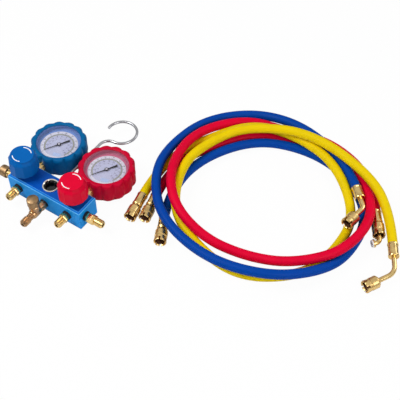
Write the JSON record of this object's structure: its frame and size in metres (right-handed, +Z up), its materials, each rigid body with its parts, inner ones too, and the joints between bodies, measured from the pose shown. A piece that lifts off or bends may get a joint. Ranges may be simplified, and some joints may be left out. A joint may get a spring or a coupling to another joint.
{
  "type": "refrigerant manifold gauge",
  "caption": "Refrigerant manifold lying on its back: dial gauges in lobed boots, valve knobs, flare ports, hanging hook and looped charging hoses.",
  "frame": {"origin": "centre of the block's back face, which lies on the floor", "axes": "+X from the low side to the high side, +Y from the hose ports to the gauges, +Z up out of the dials"},
  "size_m": [0.5146, 0.3565, 0.0663],
  "materials": {
    "block_blue": "gloss",
    "brass": "polished",
    "cap_brass": "satin",
    "black_rubber": "matt",
    "sight_clear": "clear",
    "plated_ring": "polished",
    "hook_steel": "drawn wire",
    "blue_boot": "satin",
    "red_boot": "satin",
    "blue_case": "gloss",
    "red_case": "gloss",
    "clear_lens": "clear",
    "dial_white": "printed",
    "dark_steel": "plain",
    "pointer_black": "matt",
    "blue_knob": "satin",
    "red_knob": "satin",
    "yellow_hose": "satin",
    "red_hose": "satin",
    "blue_hose": "satin",
    "white_gasket": "plain"
  },
  "bodies": {
    "manifold": {"manifold_block": "block_blue", "sight_glass_ring": "plated_ring", "sight_glass": "sight_clear", "centre_tee": "brass", "hook_bush": "hook_steel", "port_seals": "black_rubber", "flare_ports": "brass", "low_valve_bonnet": "brass", "low_gauge_boot": "blue_boot", "low_gauge_case": "blue_case", "low_gauge_lens": "clear_lens", "low_gauge_dial": "dial_white", "low_gauge_socket": "brass", "low_bourdon_tube": "brass", "low_movement_plates": "dark_steel", "high_valve_bonnet": "brass", "high_gauge_boot": "red_boot", "high_gauge_case": "red_case", "high_gauge_lens": "clear_lens", "high_gauge_dial": "dial_white", "high_gauge_socket": "brass", "high_bourdon_tube": "brass", "high_movement_plates": "dark_steel", "yellow_hose": "yellow_hose", "red_hose": "red_hose", "blue_hose": "blue_hose", "manifold_tails": "brass", "service_tails": "brass", "hose_gaskets": "white_gasket"},
    "hook": {"hanging_hook": "hook_steel"},
    "low_piston": {"low_valve_piston": "brass"},
    "low_handwheel": {"low_valve_stem": "dark_steel", "low_valve_knob": "blue_knob"},
    "low_sector": {"low_sector_gear": "brass"},
    "low_link": {"low_link": "brass"},
    "low_pointer": {"low_pinion": "brass", "low_pointer": "pointer_black"},
    "high_piston": {"high_valve_piston": "brass"},
    "high_handwheel": {"high_valve_stem": "dark_steel", "high_valve_knob": "red_knob"},
    "high_sector": {"high_sector_gear": "brass"},
    "high_link": {"high_link": "brass"},
    "high_pointer": {"high_pinion": "brass", "high_pointer": "pointer_black"},
    "left_cap_gland": {"left_cap_seal": "black_rubber"},
    "left_cap": {"left_cap": "cap_brass"},
    "tee_cap_gland": {"tee_cap_seal": "black_rubber"},
    "tee_cap": {"tee_cap": "cap_brass"},
    "yellow_manifold_nut": {"yellow_manifold_nut": "brass"},
    "yellow_service_nut": {"yellow_service_nut": "brass"},
    "red_manifold_nut": {"red_manifold_nut": "brass"},
    "red_service_nut": {"red_service_nut": "brass"},
    "blue_manifold_nut": {"blue_manifold_nut": "brass"},
    "blue_service_nut": {"blue_service_nut": "brass"}
  },
  "joints": [
    {"name": "hook_swivel", "type": "hinge", "parent": "manifold", "child": "hook", "pos_m": [-0.002, 0.0698, 0.016], "axis": [0, 1, 0], "continuous": true},
    {"name": "low_valve_lift", "type": "slide", "parent": "manifold", "child": "low_piston", "axis": [0, 0, 1], "range_m": [0, 0.00375]},
    {"name": "low_valve_turn", "type": "hinge", "parent": "low_piston", "child": "low_handwheel", "pos_m": [-0.043, 0, 0], "axis": [0, 0, 1], "range_deg": [0, 900]},
    {"name": "low_sector_swing", "type": "hinge", "parent": "manifold", "child": "low_sector", "pos_m": [-0.043, 0.0512, 0.0184], "axis": [0, 0, 1], "range_deg": [0, 27]},
    {"name": "low_link_pivot", "type": "hinge", "parent": "low_sector", "child": "low_link", "pos_m": [-0.03615, 0.04974, 0.0173], "axis": [0, 0, 1], "range_deg": [-37, 0]},
    {"name": "low_pointer_turn", "type": "hinge", "parent": "manifold", "child": "low_pointer", "pos_m": [-0.043, 0.0677, 0.0242], "axis": [0, 0, 1], "range_deg": [-270, 0]},
    {"name": "high_valve_lift", "type": "slide", "parent": "manifold", "child": "high_piston", "axis": [0, 0, 1], "range_m": [0, 0.00375]},
    {"name": "high_valve_turn", "type": "hinge", "parent": "high_piston", "child": "high_handwheel", "pos_m": [0.039, 0, 0], "axis": [0, 0, 1], "range_deg": [0, 900]},
    {"name": "high_sector_swing", "type": "hinge", "parent": "manifold", "child": "high_sector", "pos_m": [0.039, 0.0512, 0.0184], "axis": [0, 0, 1], "range_deg": [0, 27]},
    {"name": "high_link_pivot", "type": "hinge", "parent": "high_sector", "child": "high_link", "pos_m": [0.04585, 0.04974, 0.0173], "axis": [0, 0, 1], "range_deg": [-37, 0]},
    {"name": "high_pointer_turn", "type": "hinge", "parent": "manifold", "child": "high_pointer", "pos_m": [0.039, 0.0677, 0.0242], "axis": [0, 0, 1], "range_deg": [-270, 0]},
    {"name": "left_cap_lift", "type": "slide", "parent": "manifold", "child": "left_cap_gland", "axis": [-1, 0, 0], "range_m": [0, 0.00508]},
    {"name": "left_cap_turn", "type": "hinge", "parent": "left_cap_gland", "child": "left_cap", "pos_m": [-0.0805, -0.005, 0.016], "axis": [-1, 0, 0], "range_deg": [0, 1440]},
    {"name": "tee_cap_lift", "type": "slide", "parent": "manifold", "child": "tee_cap_gland", "axis": [0, 0, 1], "range_m": [0, 0.00508]},
    {"name": "tee_cap_turn", "type": "hinge", "parent": "tee_cap_gland", "child": "tee_cap", "pos_m": [0, -0.035, 0.037], "axis": [0, 0, 1], "range_deg": [0, 1440]},
    {"name": "yellow_manifold_nut_swivel", "type": "hinge", "parent": "manifold", "child": "yellow_manifold_nut", "pos_m": [0.10153, 0.04735, 0.009], "axis": [0.1961, -0.9806, 0], "continuous": true},
    {"name": "yellow_service_nut_swivel", "type": "hinge", "parent": "manifold", "child": "yellow_service_nut", "pos_m": [0.41855, 0.11891, 0.0086], "axis": [-0.4925, -0.8697, -0.0331], "continuous": true},
    {"name": "red_manifold_nut_swivel", "type": "hinge", "parent": "manifold", "child": "red_manifold_nut", "pos_m": [0.11737, 0.05654, 0.009], "axis": [0.2425, -0.9701, 0], "continuous": true},
    {"name": "red_service_nut_swivel", "type": "hinge", "parent": "manifold", "child": "red_service_nut", "pos_m": [0.37773, 0.19824, 0.009], "axis": [0.5358, -0.8443, 0], "continuous": true},
    {"name": "blue_manifold_nut_swivel", "type": "hinge", "parent": "manifold", "child": "blue_manifold_nut", "pos_m": [0.15221, 0.03498, 0.009], "axis": [0.4563, -0.8898, 0], "continuous": true},
    {"name": "blue_service_nut_swivel", "type": "hinge", "parent": "manifold", "child": "blue_service_nut", "pos_m": [0.35153, 0.1833, 0.02395], "axis": [-0.1539, -0.988, 0.014], "continuous": true}
  ],
  "couplings": [
    {"joint": "low_valve_lift", "follows": "low_valve_turn", "m_per_rad": 0.00023873},
    {"joint": "low_pointer_turn", "follows": "low_sector_swing", "ratio": -10},
    {"joint": "low_link_pivot", "follows": "low_sector_swing", "ratio": -1.367},
    {"joint": "high_valve_lift", "follows": "high_valve_turn", "m_per_rad": 0.00023873},
    {"joint": "high_pointer_turn", "follows": "high_sector_swing", "ratio": -10},
    {"joint": "high_link_pivot", "follows": "high_sector_swing", "ratio": -1.367},
    {"joint": "left_cap_lift", "follows": "left_cap_turn", "m_per_rad": 0.00020213},
    {"joint": "tee_cap_lift", "follows": "tee_cap_turn", "m_per_rad": 0.00020213}
  ]
}
